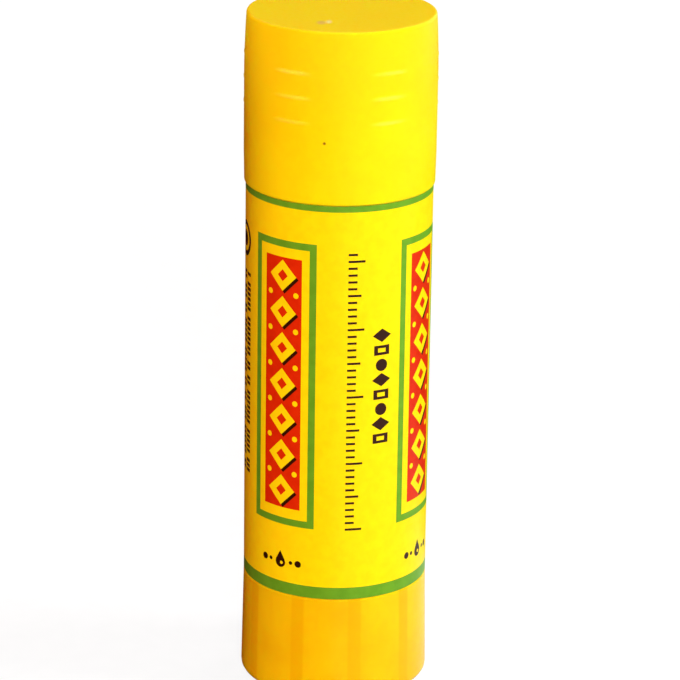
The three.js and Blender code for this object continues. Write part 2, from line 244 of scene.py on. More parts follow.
# %% [markdown]
# ## Plastic, as a recipe
# All the plastic here is polypropylene: waxy, softly glossy, and a little see-through, so
# that light sinks in and comes out again some millimetres away, the red part of it
# furthest. That is what turns the shaded side of the yellow cap orange. The Principled
# shader does it with Subsurface. Over the plain colour go three faint things that every
# moulding has: clouds in the pigment, flow lines along the way the melt ran, and a fine
# grain from the mould's surface, which also makes the gloss uneven.

# %% Small helpers for shader nodes
def paint(red, green, blue):
    """A colour as a picture editor gives it, 0 to 255, in the shader's linear values."""
    shares = [value / 255 for value in (red, green, blue)]
    linear = [s / 12.92 if s <= 0.04045 else ((s + 0.055) / 1.055) ** 2.4 for s in shares]
    return (*linear, 1)


def add(tree, kind, inputs=None, **settings):
    """A new node, with its settings, and with its inputs linked or set."""
    made = tree.nodes.new("ShaderNode" + kind)
    for key, value in settings.items():
        setattr(made, key, value)
    for key, value in (inputs or {}).items():
        if isinstance(value, bpy.types.NodeSocket):
            tree.links.new(value, made.inputs[key])
        else:
            made.inputs[key].default_value = value
    return made


def reckon(tree, operation, *values):
    return add(tree, "Math", dict(enumerate(values)), operation=operation).outputs[0]


def place_in(tree, scale=(1, 1, 1)):
    """Where a point of the surface is, in metres, in the frame of the whole object."""
    place = add(tree, "TexCoord").outputs["Object"]
    return add(tree, "Mapping", {"Vector": place, "Scale": scale}).outputs[0]


def noise(tree, size_mm, detail=3, scale=(1, 1, 1)):
    """Soft random values, 0 to 1, whose blobs are about size_mm across."""
    inputs = {"Vector": place_in(tree, scale), "Scale": 1 / (size_mm * MM), "Detail": detail}
    return add(tree, "TexNoise", inputs).outputs[0]


def between(tree, value, start, end, low=0.0, high=1.0):
    """Goes smoothly from low to high as the value goes from start to end."""
    inputs = {0: value, 1: start, 2: end, 3: low, 4: high}
    return add(tree, "MapRange", inputs, interpolation_type="SMOOTHSTEP").outputs[0]


def mixed(tree, share, first, second):
    """A Mix node takes its colours at sockets 6 and 7, and gives the mixed one at 2."""
    inputs = {0: share, 6: first, 7: second}
    return add(tree, "Mix", inputs, data_type="RGBA").outputs[2]


print(f"a middle grey is {paint(128, 128, 128)[0]:.2f} of white")

# %% [markdown]
# The recipe itself takes the colour, a deeper shade of it for the clouds, the roughness,
# and how far light travels inside. The last colour stays linked to the shader, so a later
# cell can lay a stain, painted shade or a painted highlight over it. What any skin of
# plastic needs is a function of its own, because the printed film needs it too.

# %% Moulded plastic
CLOUD_MM, FLOW_MM = 9, 2.2
FLOW_STRETCH = (1, 1, 0.12)
GRAIN_HEIGHT = 0.02 * MM
GRAIN_STRENGTH, CLOUD_SHARE = 0.25, 0.5
UNEVENNESS = 0.05
RED_GOES_FURTHEST = (1, 0.3, 0.04)


def new_material(name):
    material = bpy.data.materials.new(name)
    material.use_nodes = True
    tree = material.node_tree
    return material, tree, tree.nodes["Principled BSDF"]


def set_inputs(shader, inputs):
    for key, value in inputs.items():
        shader.inputs[key].default_value = value


def make_skin(tree, shader, colour, roughness, relief, strength, gloss, glow, glow_mm):
    """Link what varies over the surface, and set what is the same all over it."""
    bump = {"Height": relief, "Strength": strength, "Distance": GRAIN_HEIGHT}
    tree.links.new(colour, shader.inputs["Base Color"])
    tree.links.new(roughness, shader.inputs["Roughness"])
    tree.links.new(add(tree, "Bump", bump).outputs[0], shader.inputs["Normal"])
    set_inputs(shader, {
        "Specular IOR Level": gloss, "Subsurface Weight": glow,
        "Subsurface Radius": RED_GOES_FURTHEST, "Subsurface Scale": glow_mm * MM,
    })


def moulded(name, colour, deeper, roughness, glow, glow_mm, grain_mm=0.5, gloss=0.2):
    material, tree, shader = new_material(name)
    clouds = between(tree, noise(tree, CLOUD_MM), 0.35, 0.75)
    flow = between(tree, noise(tree, FLOW_MM, 2, FLOW_STRETCH), 0.4, 0.8, 0, 0.5)
    grain = noise(tree, grain_mm, 4)
    shade = mixed(tree, reckon(tree, "MAXIMUM", clouds, flow), colour, deeper)
    uneven = between(tree, grain, 0.3, 0.7, roughness - UNEVENNESS, roughness + UNEVENNESS)
    relief = reckon(tree, "ADD", grain, reckon(tree, "MULTIPLY", clouds, CLOUD_SHARE))
    make_skin(tree, shader, shade, uneven, relief, GRAIN_STRENGTH, gloss, glow, glow_mm)
    print(f"{name}: roughness {roughness}, light reaches {glow_mm} mm into it")
    return material


def lay_over(material, share, colour):
    """Mix a colour over what the material's shader has now, where share is above zero."""
    tree = material.node_tree
    socket = tree.nodes["Principled BSDF"].inputs["Base Color"]
    now = socket.links[0].from_socket
    tree.links.new(mixed(tree, share, now, colour), socket)


def spot(material, place_mm, inner_mm, outer_mm, squeeze):
    """A share that is 1 at a place on the surface and 0 beyond the outer distance."""
    tree = material.node_tree
    ends = {0: place_in(tree, squeeze), 1: [p * s * MM for p, s in zip(place_mm, squeeze)]}
    far = add(tree, "VectorMath", ends, operation="DISTANCE").outputs[1]
    return between(tree, far, inner_mm * MM, outer_mm * MM, 1, 0)


print(f"the grain is {GRAIN_HEIGHT / MM} mm deep")

# %% [markdown]
# ## The barrel
# The barrel is the tube itself. The label hides most of it, but the neck shows as soon as
# the cap comes off, with its low snap bead, and the four guide ribs in the bore show when
# somebody looks in past the glue. The outline runs round the wall's section: up outside,
# over the neck, down the bore, across the floor and round the spigot that the knob turns on.

# %% Make the barrel
def radius_of(node):
    """Half the width of a round node across the table, in mm, clear of grips."""
    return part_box(node)[1].y / MM


def heights_of(node):
    """A node's foot and top above the table, in mm."""
    low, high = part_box(node)
    return low.z / MM, high.z / MM


TUBE_RADIUS = radius_of("barrel")
SPIGOT_FOOT, NECK_TOP = heights_of("barrel")
NECK_RADIUS = 12.2
BORE_RADIUS = 10.9
SPIGOT_RADIUS = 11.7
SPIGOT_BORE = 10.4
BODY_FOOT = 15.65
SHOULDER = 74.55
FLOOR_UNDER, FLOOR_TOP = 16.4, 18.2
BEARING_RADIUS = 3.25
BEAD_HEIGHT, BEAD_HALF, BEAD_RISE = 81.0, 0.6, 0.2
GUIDE_RIBS = 4
GUIDE_RIB_ANGLE = math.radians(45)
GUIDE_RIB_HALF = math.radians(3.94)
GUIDE_RIB_RISE = 0.6
GUIDE_RIB_TOP = 86.0
RIB_RUN_OUT = 0.3

barrel_outline = eased([
    (BEARING_RADIUS, FLOOR_UNDER, 0.1),
    (SPIGOT_BORE, FLOOR_UNDER, 0.3),
    (SPIGOT_BORE, SPIGOT_FOOT, 0.15),
    (SPIGOT_RADIUS, SPIGOT_FOOT, 0.5),
    (SPIGOT_RADIUS, BODY_FOOT, 0.1),
    (TUBE_RADIUS, BODY_FOOT, 0.25),
    (TUBE_RADIUS, SHOULDER, 0.3),
    (NECK_RADIUS, SHOULDER, 0.15),
    (NECK_RADIUS, BEAD_HEIGHT - BEAD_HALF, 0.4),
    (NECK_RADIUS + BEAD_RISE, BEAD_HEIGHT, 0.8),
    (NECK_RADIUS, BEAD_HEIGHT + BEAD_HALF, 0.4),
    (NECK_RADIUS, NECK_TOP, 0.5),
    (BORE_RADIUS, NECK_TOP, 0.3),
    (BORE_RADIUS, GUIDE_RIB_TOP + RIB_RUN_OUT, 0),
    (BORE_RADIUS, GUIDE_RIB_TOP, 0),
    (BORE_RADIUS, FLOOR_TOP, 0.2),
    (BEARING_RADIUS, FLOOR_TOP, 0.1),
])
guide_ribs = GUIDE_RIBS, GUIDE_RIB_ANGLE, GUIDE_RIB_HALF
on_bore = ribs_on(BORE_RADIUS, GUIDE_RIB_TOP, -GUIDE_RIB_RISE, *guide_ribs)
barrel = crisp(turned("barrel_tube", barrel_outline, ribbed_slices(*guide_ribs), on_bore))
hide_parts("barrel")
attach(barrel, "barrel")

# %% [markdown]
# The tube is moulded in an orange yellow, a shade deeper than the cap. Only the neck shows
# it, so the recipe does as it is.

# %% Tube plastic
barrel.data.materials.append(moulded(
    "tube plastic", paint(250, 200, 12), paint(243, 186, 8), 0.42, glow=0.5, glow_mm=1.2,
))

# %% [markdown]
# ## The printed label
# The label is one strip of film, wound once round the tube, with its ends lapped at the
# back. The inks could be drawn in a shader, but then their edges would be only as sharp as
# a baked picture. Here they are real faces: the artwork, which is plain ornament, is laid
# out flat in millimetres, cut into triangles together with fine upright lines, and then
# wound on to the tube. Each triangle takes the ink of the last shape drawn over it.

# %% Shapes to print with
FILM, GREEN_INK, RED_INK, BROWN_INK = range(4)
artwork = []


def draw(ink, *points):
    """Each point is (across, height) in mm. Later shapes lie over earlier ones."""
    artwork.append((ink, points))


def bar(ink, left, foot, right, top):
    draw(ink, (left, foot), (right, foot), (right, top), (left, top))


def lozenge(ink, across, height, wide, tall):
    left, right = across - wide / 2, across + wide / 2
    foot, top = height - tall / 2, height + tall / 2
    draw(ink, (left, height), (across, foot), (right, height), (across, top))


def disc(ink, across, height, radius, corners=16):
    turns = [FULL_TURN * i / corners for i in range(corners)]
    draw(ink, *((across + radius * math.cos(t), height + radius * math.sin(t)) for t in turns))


print(f"{BROWN_INK} inks to print on the film")

# %% [markdown]
# The strip's sizes come from the tube it is wound on. Distances across it are measured from
# the middle of the front, to the right. The two stripes run the whole way round, and three
# framed panels stand at equal steps.

# %% Lay out the stripes and the framed panels
FILM_STANDS_OUT = 0.15
LABEL_RADIUS = TUBE_RADIUS + FILM_STANDS_OUT
FILM_THICKNESS = 0.13
LABEL_FOOT, LABEL_TOP = heights_of("label")
ROUND_THE_TUBE = FULL_TURN * LABEL_RADIUS
LAP_START, LAP_WIDTH, LAP_MARGIN = -39.9, 3.2, 0.1
strip_left = LAP_START
strip_right = LAP_START + ROUND_THE_TUBE + LAP_WIDTH - LAP_MARGIN

FOOT_STRIPE_TOP = 17.5
HEAD_STRIPE_FOOT = 73.6
bar(GREEN_INK, strip_left, LABEL_FOOT, strip_right, FOOT_STRIPE_TOP)
bar(GREEN_INK, strip_left, HEAD_STRIPE_FOOT, strip_right, LABEL_TOP)

FIRST_PANEL, PANEL_STEP, PANELS = -8.3, 23.1, 3
PANEL_CENTRES = [FIRST_PANEL + PANEL_STEP * i for i in range(PANELS)]
FRAME_HALF_WIDTH, FRAME_FOOT, FRAME_TOP, FRAME_LINE = 5.25, 26.33, 68.8, 1.03
PANEL_HALF_WIDTH, PANEL_FOOT, PANEL_TOP = 3.1, 28.9, 66.3
LOZENGES, LOZENGE_WIDTH, LOZENGE_SHARE, SHADOW = 7, 4.5, 0.86, 0.34
HEART_WIDTH, HEART_SHARE = 1.7, 0.33
DOT_ACROSS, DOT_RADIUS, DOT_CORNERS = 2.2, 0.42, 12

for centre in PANEL_CENTRES:
    outer, inner = FRAME_HALF_WIDTH, FRAME_HALF_WIDTH - FRAME_LINE
    bar(GREEN_INK, centre - outer, FRAME_FOOT, centre + outer, FRAME_TOP)
    bar(FILM, centre - inner, FRAME_FOOT + FRAME_LINE, centre + inner, FRAME_TOP - FRAME_LINE)
    bar(RED_INK, centre - PANEL_HALF_WIDTH, PANEL_FOOT, centre + PANEL_HALF_WIDTH, PANEL_TOP)
    step = (PANEL_TOP - PANEL_FOOT) / LOZENGES
    for i in range(LOZENGES):
        height = PANEL_FOOT + step * (i + 0.5)
        tall = step * LOZENGE_SHARE
        lozenge(BROWN_INK, centre + SHADOW, height - SHADOW, LOZENGE_WIDTH, tall)
        lozenge(FILM, centre, height, LOZENGE_WIDTH, tall)
        lozenge(RED_INK, centre, height, HEART_WIDTH, step * HEART_SHARE)
        if i:
            for side in (-1, 1):
                across = centre + side * DOT_ACROSS
                disc(FILM, across, height - step / 2, DOT_RADIUS, DOT_CORNERS)
print(f"{len(artwork)} shapes so far, round {ROUND_THE_TUBE:.1f} mm of tube")

# %% [markdown]
# Between the panels stands a ruler of fine ticks, every fifth of them longer, with a row of
# bold little shapes beside it: frames, lozenges and discs by turns.

# %% Lay out the rulers and the bold shapes
RULER_LEFT, RULER_FOOT, RULER_TOP = 1.4, 26.3, 68.0
TICK_STEP, TICK_WIDTH = 1.0, 0.34
SHORT_TICK, LONG_TICK, LONGEST_TICK = 1.3, 1.9, 2.4
SHAPES_CENTRE, SHAPES_FOOT, SHAPES_TOP, SHAPES = 6.5, 38.8, 56.4, 8
FRAMES = (BROWN_INK, 1.2, 0.72), (FILM, 0.6, 0.3)
BOLD_WIDTH, BOLD_SHARE, BOLD_RADIUS = 2.9, 0.92, 0.92

for start in (0, PANEL_STEP):
    ticks = int((RULER_TOP - RULER_FOOT) / TICK_STEP)
    for i in range(ticks + 1):
        length = LONGEST_TICK if i % 10 == 0 else LONG_TICK if i % 5 == 0 else SHORT_TICK
        left = start + RULER_LEFT
        foot = RULER_FOOT + i * TICK_STEP
        bar(BROWN_INK, left, foot, left + length, foot + TICK_WIDTH)
    step = (SHAPES_TOP - SHAPES_FOOT) / SHAPES
    for i in range(SHAPES):
        height = SHAPES_FOOT + step * (i + 0.5)
        across = start + SHAPES_CENTRE
        if i % 3 == 0:
            for ink, half, up in FRAMES:
                bar(ink, across - half, height - up, across + half, height + up)
        elif i % 3 == 1:
            lozenge(BROWN_INK, across, height, BOLD_WIDTH, step * BOLD_SHARE)
        else:
            disc(BROWN_INK, across, height, BOLD_RADIUS)
print(f"{ticks + 1} ticks to a ruler, and {SHAPES} bold shapes beside it")

# %% [markdown]
# Under each panel hangs a drop of glue with a glint in it, and two dots on either side. A
# disc with a triangle on top makes the drop.

# %% Lay out the drops
DROP_HEIGHT, DROP_SAG, DROP_RADIUS = 20.6, 0.15, 0.85
SLOPE_HALF, SLOPE_FOOT, SLOPE_TIP = 0.78, 0.2, 1.6
GLINT_ACROSS, GLINT_SAG, GLINT_RADIUS, GLINT_CORNERS = 0.2, 0.25, 0.26, 10
SIDE_DOTS = (2.9, 0.52, 12), (1.75, 0.3, 10)

for centre in PANEL_CENTRES:
    disc(BROWN_INK, centre, DROP_HEIGHT - DROP_SAG, DROP_RADIUS)
    foot, tip = DROP_HEIGHT + SLOPE_FOOT, DROP_HEIGHT + SLOPE_TIP
    draw(BROWN_INK, (centre - SLOPE_HALF, foot), (centre + SLOPE_HALF, foot), (centre, tip))
    disc(FILM, centre + GLINT_ACROSS, DROP_HEIGHT - GLINT_SAG, GLINT_RADIUS, GLINT_CORNERS)
    for side in (-1, 1):
        for across, radius, count in SIDE_DOTS:
            disc(BROWN_INK, centre + side * across, DROP_HEIGHT, radius, count)
print(f"{len(PANEL_CENTRES)} drops")

# %% [markdown]
# The left side has rows of fine marks, in groups of random length, under three rings. The
# draw is seeded, so the lengths come out the same each time. The first row just reaches the
# left edge in the picture, and darkens it.

# %% Lay out the fine marks and the rings
lengths = random.Random(7)
MARKS_LEFT, MARKS_RIGHT, MARKS_FOOT, MARKS_TOP = -35.6, -15.9, 31.4, 62.0
ROW_STEP, MARK_LENGTH, MARK_STEP, MARK_WIDTH = 1.8, 1.45, 0.74, 0.5
SMALLEST_GROUP, LARGEST_GROUP = 2, 8
RING_CENTRES, RING_HEIGHT, RING_CORNERS = (-18.5, -24.9, -31.3), 66.5, 28
RING_SIZES = (BROWN_INK, 2.6), (FILM, 1.9), (BROWN_INK, 1.2)

across = MARKS_RIGHT
while across > MARKS_LEFT:
    height = MARKS_FOOT + lengths.uniform(0, 1)
    while height < MARKS_TOP:
        for _ in range(lengths.randint(SMALLEST_GROUP, LARGEST_GROUP)):
            if height < MARKS_TOP:
                bar(BROWN_INK, across - MARK_LENGTH, height, across, height + MARK_WIDTH)
            height += MARK_STEP
        height += MARK_STEP
    across -= ROW_STEP
for centre in RING_CENTRES:
    for ink, radius in RING_SIZES:
        disc(ink, centre, RING_HEIGHT, radius, RING_CORNERS)
print(f"{len(artwork)} shapes in the artwork")

# %% [markdown]
# Now the flat artwork becomes triangles. A constrained triangulation keeps every edge that
# it is given, so the ink edges stay exact, and the upright lines let the flat faces bend
# round the tube. Such long, thin faces would shade badly, so later each corner gets the
# tube's normal. The back needs only the two stripes, which were drawn first: with them
# its rim has the same corners as the face's.

# %% Cut the artwork into triangles
BEND_STEP, LINE_ROOM = 0.45, 0.1
CUT_NOTHING = 1e-5
LAP_RAMP = 0.9


def upright_lines():
    """Where the film bends: at even steps, and at both ends of the lap's ramp."""
    count = math.ceil((strip_right - strip_left) / BEND_STEP)
    lines = [strip_left + (strip_right - strip_left) * i / count for i in range(count + 1)]
    extra = [LAP_START + LAP_WIDTH, LAP_START + LAP_WIDTH + LAP_RAMP]
    return [x for x in lines if all(abs(x - e) > LINE_ROOM for e in extra)] + extra


def cut_flat(shapes):
    """Flat corners, triangles, and the ink of each triangle."""
    corners, edges, faces = [], [], []
    for _, points in shapes:
        faces.append(list(range(len(corners), len(corners) + len(points))))
        corners += [Vector(point) for point in points]
    for across in upright_lines():
        edges.append((len(corners), len(corners) + 1))
        corners += [Vector((across, LABEL_FOOT)), Vector((across, LABEL_TOP))]
    flat, _, triangles, _, _, under = delaunay_2d_cdt(corners, edges, faces, 0, CUT_NOTHING, True)
    inks = [shapes[max(found)][0] if found else FILM for found in under]
    return flat, triangles, inks


printed_flat, printed_triangles, printed_inks = cut_flat(artwork)
back_flat, back_triangles, _ = cut_flat(artwork[:2])
print(f"{len(printed_triangles)} printed triangles, {len(back_triangles)} on the back")

# %% [markdown]
# Winding is one formula: distance along the film over the radius is the angle. The left end
# of the strip lies over the right one, a film's thickness further out, with a short ramp
# where it comes down. Face, back and rim are joined into one closed skin, because a real
# film has a thickness that catches light.

# %% Wind the label on to the tube
LAP_AIR = 0.01


def lift(across):
    """How far the left end stands out over the right one, in mm."""
    past = across - LAP_START - LAP_WIDTH
    return (FILM_THICKNESS + LAP_AIR) * min(1, max(0, 1 - past / LAP_RAMP))


def outwards(across):
    return from_front(across / LABEL_RADIUS, 1, 0)


def wound(point, depth):
    across, height = point
    radius = LABEL_RADIUS + lift(across) - depth
    return outwards(across) * (radius * MM) + Vector((0, 0, height * MM))


def rim_edges(triangles):
    """The edges that only one triangle has, in its own direction."""
    ways = {(t[i], t[i - 2]) for t in triangles for i in range(3)}
    return [(a, b) for a, b in ways if (b, a) not in ways]


def spot_of(point):
    """A rounded place, which is the same for a corner on the face and on the back."""
    return (round(point[0], 4), round(point[1], 4))


corners = [wound(p, 0) for p in printed_flat] + [wound(p, FILM_THICKNESS) for p in back_flat]
first_back = len(printed_flat)
back_of = {spot_of(p): first_back + i for i, p in enumerate(back_flat)}
faces = [tuple(t) for t in printed_triangles]
normals = [outwards(printed_flat[c][0]) for t in printed_triangles for c in t]
for t in back_triangles:
    faces.append(tuple(first_back + c for c in reversed(t)))
    normals += [-outwards(back_flat[c][0]) for c in reversed(t)]
for a, b in sorted(rim_edges(printed_triangles)):
    wall = (b, a, back_of[spot_of(printed_flat[a])], back_of[spot_of(printed_flat[b])])
    faces.append(wall)
    side = (corners[wall[1]] - corners[wall[0]]).cross(corners[wall[2]] - corners[wall[1]])
    normals += [side.normalized()] * 4

label = new_object("printed_label", corners, faces)
inks = printed_inks + [FILM] * (len(faces) - len(printed_inks))
label.data.polygons.foreach_set("material_index", inks)
label.data.normals_split_custom_set(normals)
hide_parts("label")
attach(label, "barrel")
print(f"the label has {len(faces)} faces")

# %% [markdown]
# Inks on a film are never quite even: they mottle at about a millimetre, and the film has
# picked up fine scuffs that run round the tube, where it is held and turned. Light still
# sinks a little way in, because the film and the tube under it are both pale plastic.

# %% Inks on film
MOTTLE_MM, SCUFF_MM, HANDLED_MM, PEEL_MM = 1.4, 1.1, 11, 0.9
SCUFF_STRETCH = (0.25, 0.25, 5)
FRESH, SCUFFS_ADD, SCUFF_DEPTH = 0.4, 0.16, 0.3
PEEL_STRENGTH, INK_GLOSS = 0.2, 0.2


def inked_film(name, colour, deeper, glow=0.35):
    material, tree, shader = new_material(name)
    mottle = between(tree, noise(tree, MOTTLE_MM, 4), 0.3, 0.75, 0, 0.8)
    shade = mixed(tree, mottle, colour, deeper)
    scuffs = between(tree, noise(tree, SCUFF_MM, 5, SCUFF_STRETCH), 0.62, 0.7)
    handled = between(tree, noise(tree, HANDLED_MM, 1), 0.45, 0.65)
    worn = reckon(tree, "MULTIPLY", scuffs, handled)
    rough = reckon(tree, "MULTIPLY_ADD", worn, SCUFFS_ADD, FRESH)
    peel = noise(tree, PEEL_MM, 2)
    relief = reckon(tree, "SUBTRACT", peel, reckon(tree, "MULTIPLY", worn, SCUFF_DEPTH))
    make_skin(tree, shader, shade, rough, relief, PEEL_STRENGTH, INK_GLOSS, glow, FILM_THICKNESS)
    print(f"{name} mixed")
    return material


for material in (
    inked_film("label film", paint(255, 228, 9), paint(253, 219, 6)),
    inked_film("green ink", paint(104, 163, 34), paint(92, 151, 27), glow=0.15),
    inked_film("red ink", paint(214, 44, 3), paint(202, 35, 2), glow=0.15),
    inked_film("brown ink", paint(44, 14, 2), paint(34, 10, 1), glow=0.1),
):
    label.data.materials.append(material)

# %% [markdown]
# ## The turning knob
# The knob is a cup that stands upside down: a skirt that flares towards a foot ring, a
# floor a little way up, and a hub in the middle that takes the screw's hexagonal key. Ten
# spokes tie the hub to the skirt and go on up the skirt as low ribs. Its plastic is clearer
# than the cap's, and soft bands of painted shade in its colour stand for those ribs showing
# through it. The rim closes up to the barrel: the room that it needs for turning would show
# here as a dark line.

# %% Turn the knob's skirt, floor and hub
KNOB_FOOT_RADIUS = radius_of("knob")
HUB_TOP = heights_of("knob")[1]
CLOSED_GAP = 0.05
KNOB_TOP = BODY_FOOT - CLOSED_GAP
KNOB_RIM_RADIUS = 13.3
KNOB_BORE = 12.0
FOOT_RING, FOOT_RING_SLOPE = 11.62, 0.45
KNOB_FLOOR_UNDER, KNOB_FLOOR_TOP = 0.9, 2.5
HUB_RADIUS, HUB_CORE, HUB_CORE_TOP = 4.6, 2.4, 5.7
SOCKET_RADIUS, SOCKET_FOOT, SOCKET_BAND, KEY_SIDES = 2.7, 7.3, 0.06, 6
SPOKES = 10
FIRST_SPOKE = math.radians(-77)
SPOKE_TOP = 7.9
SPOKE_THICKNESS = 1.0
SKIRT_RIB_RISE = 0.15
SKIRT_RIB_TOP = 14.5

knob_outline = eased([
    (0, HUB_CORE_TOP, 0),
    (HUB_CORE, HUB_CORE_TOP, 0.3),
    (HUB_CORE, KNOB_FLOOR_UNDER, 0.3),
    (FOOT_RING - FOOT_RING_SLOPE, KNOB_FLOOR_UNDER, 0.3),
    (FOOT_RING, 0, 0.3),
    (KNOB_FOOT_RADIUS, 0, 1.5),
    (KNOB_RIM_RADIUS, KNOB_TOP, 0.28),
    (KNOB_BORE, KNOB_TOP, 0.2),
    (KNOB_BORE, SKIRT_RIB_TOP, 0),
    (KNOB_BORE, SKIRT_RIB_TOP - RIB_RUN_OUT, 0),
    (KNOB_BORE, KNOB_FLOOR_TOP, 0.2),
    (HUB_RADIUS, KNOB_FLOOR_TOP, 0.3),
    (HUB_RADIUS, HUB_TOP, 0.25),
    (SOCKET_RADIUS, HUB_TOP, 0.1),
    (SOCKET_RADIUS, SOCKET_FOOT, 0.05),
    (0, SOCKET_FOOT, 0),
])
RIB_HALF = SPOKE_THICKNESS / 2 / KNOB_BORE
skirt_ribs = SPOKES, FIRST_SPOKE, RIB_HALF
on_skirt = ribs_on(KNOB_BORE, SKIRT_RIB_TOP - RIB_RUN_OUT, -SKIRT_RIB_RISE, *skirt_ribs)


def inside_the_knob(angle, radius, height):
    """Skirt ribs, and flats that make the socket a hexagon."""
    if abs(radius - SOCKET_RADIUS) < SOCKET_BAND and height > SOCKET_FOOT - CLOSE:
        half_side = math.pi / KEY_SIDES
        flat = SOCKET_RADIUS * math.cos(half_side)
        return flat / math.cos(off_centre(angle, KEY_SIDES, half_side)) - SOCKET_RADIUS
    return on_skirt(angle, radius, height)


knob = turned("turning_knob", knob_outline, ribbed_slices(*skirt_ribs), inside_the_knob)

# %% [markdown]
# The outline can't carry the spokes, so they are ten thin plates, united with the knob by a
# Boolean. The exact solver leaves one closed skin with no faces inside, which matters here:
# hidden faces would stop the light that sinks in.

# %% Tie the hub to the skirt with spokes
INTO_HUB, INTO_SKIRT, INTO_FLOOR = 0.5, 0.4, 0.4


def plate(angle, inner, outer, thickness, foot, top):
    """The eight corners of an upright plate that points away from the axis."""
    along = Vector((math.cos(angle), math.sin(angle), 0))
    across = Vector((-along.y, along.x, 0)) * (thickness / 2)
    ends = [along * inner - across, along * outer - across]
    ends += [along * outer + across, along * inner + across]
    return [(end + Vector((0, 0, height))) * MM for height in (foot, top) for end in ends]


PLATE_FACES = [(3, 2, 1, 0), (4, 5, 6, 7), (0, 1, 5, 4), (1, 2, 6, 5), (2, 3, 7, 6), (3, 0, 4, 7)]


def unite(piece, added):
    """Make one solid of the two, in place of the first."""
    union = piece.modifiers.new("union", "BOOLEAN")
    union.operation = "UNION"
    union.solver = "EXACT"
    union.object = added
    ready = piece.evaluated_get(bpy.context.evaluated_depsgraph_get())
    joined = bpy.data.meshes.new_from_object(ready)
    piece.modifiers.clear()
    piece.data = joined
    bpy.data.objects.remove(added)


spoke_corners, spoke_faces = [], []
for spoke in range(SPOKES):
    angle = FIRST_SPOKE + spoke * FULL_TURN / SPOKES
    start = len(spoke_corners)
    spoke_corners += plate(
        angle, HUB_RADIUS - INTO_HUB, KNOB_BORE + INTO_SKIRT, SPOKE_THICKNESS,
        KNOB_FLOOR_TOP - INTO_FLOOR, SPOKE_TOP,
    )
    spoke_faces += [tuple(start + c for c in face) for face in PLATE_FACES]
unite(knob, new_object("spokes", spoke_corners, spoke_faces))
crisp(knob)
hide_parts("knob")
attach(knob, "knob")
print(f"the knob has {len(knob.data.polygons)} faces")

# %% [markdown]
# The knob's plastic is the same recipe, more orange, with less sheen and a longer reach. The
# bands of painted shade come from the angle round the axis: folded into one pitch, it gives
# the distance from the nearest rib, and the colour deepens close to it.

# %% Clear orange plastic
BAND_FULL, BAND_END, BAND_DEPTH = 1.3, 2.1, 0.75


def angle_off(tree, count, first):
    """How far round the axis a point of the surface is from the nearest of some ribs."""
    axes = add(tree, "SeparateXYZ", {0: place_in(tree)}).outputs
    angle = reckon(tree, "SUBTRACT", reckon(tree, "ARCTAN2", axes["Y"], axes["X"]), first)
    half_pitch = math.pi / count
    return reckon(tree, "ABSOLUTE", reckon(tree, "WRAP", angle, half_pitch, -half_pitch))


knob_plastic = moulded(
    "knob plastic", paint(241, 203, 10), paint(234, 188, 6), 0.34, glow=0.6, glow_mm=1.5,
    gloss=0.15,
)
knob_tree = knob_plastic.node_tree
from_rib = angle_off(knob_tree, SPOKES, FIRST_SPOKE)
band_full, band_end = RIB_HALF * BAND_FULL, RIB_HALF * BAND_END
# Painted shade of the ribs behind the wall: the colour deepens near each rib.
painted_rib_shade = between(knob_tree, from_rib, band_full, band_end, BAND_DEPTH, 0)
lay_over(knob_plastic, painted_rib_shade, paint(233, 181, 3))
knob.data.materials.append(knob_plastic)

# %% [markdown]
# ## The glue
# The glue is a stick of set paste, cast into the carrier's cup. The guide ribs of the bore
# leave four grooves down its sides, and its free end is eased where the mould's lid let it
# go, with a shallow dish in it. It only shows when the cap is off.

# %% Make the glue
GLUE_RADIUS = radius_of("glue")
GLUE_FOOT, GLUE_TOP = heights_of("glue")
GLUE_FOOT_RADIUS, GLUE_STEP = 9.6, 30.3
NUT_ROOM, NUT_ROOM_TOP = 5.7, 29.5
SCREW_ROOM, SCREW_ROOM_TOP = 3.9, 84.3
SCREW_ROOM_TIP = 0.9
GROOVE_TOP, GROOVE_RUN_OUT = 86.1, 0.25
GROOVE_HALF = math.radians(4.47)
DISH_SHARE, DISH_EDGE, DISH_DEPTH = 0.5, 0.05, 0.35

glue_outline = eased([
    (NUT_ROOM, GLUE_FOOT, 0.1),
    (GLUE_FOOT_RADIUS, GLUE_FOOT, 0.2),
    (GLUE_FOOT_RADIUS, GLUE_STEP, 0.1),
    (GLUE_RADIUS, GLUE_STEP, 0.1),
    (GLUE_RADIUS, GROOVE_TOP, 0),
    (GLUE_RADIUS, GROOVE_TOP + GROOVE_RUN_OUT, 0),
    (GLUE_RADIUS, GLUE_TOP, 1.3),
    (GLUE_RADIUS * DISH_SHARE, GLUE_TOP - DISH_EDGE, 3),
    (0, GLUE_TOP - DISH_DEPTH, 0),
    (0, SCREW_ROOM_TOP + SCREW_ROOM_TIP, 0),
    (SCREW_ROOM, SCREW_ROOM_TOP, 0.5),
    (SCREW_ROOM, NUT_ROOM_TOP, 0.1),
    (NUT_ROOM, NUT_ROOM_TOP, 0.1),
])
grooves = GUIDE_RIBS, GUIDE_RIB_ANGLE, GROOVE_HALF
on_side = ribs_on(GLUE_RADIUS, GROOVE_TOP, -GUIDE_RIB_RISE, *grooves)
glue = crisp(turned("stick_of_glue", glue_outline, ribbed_slices(*grooves), on_side))
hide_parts("glue")
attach(glue, "carrier")

# %% [markdown]
# Set paste is like soap or wax: nearly white, dull, and lit from inside. Light of every
# colour travels far in it, further than in the plastics.

# %% Set paste
PASTE_REACH = (1, 0.9, 0.7)
paste = moulded(
    "set paste", paint(231, 230, 219), paint(221, 219, 206), 0.55, glow=0.8, glow_mm=2,
    grain_mm=0.8,
)
set_inputs(paste.node_tree.nodes["Principled BSDF"], {"Subsurface Radius": PASTE_REACH})
glue.data.materials.append(paste)

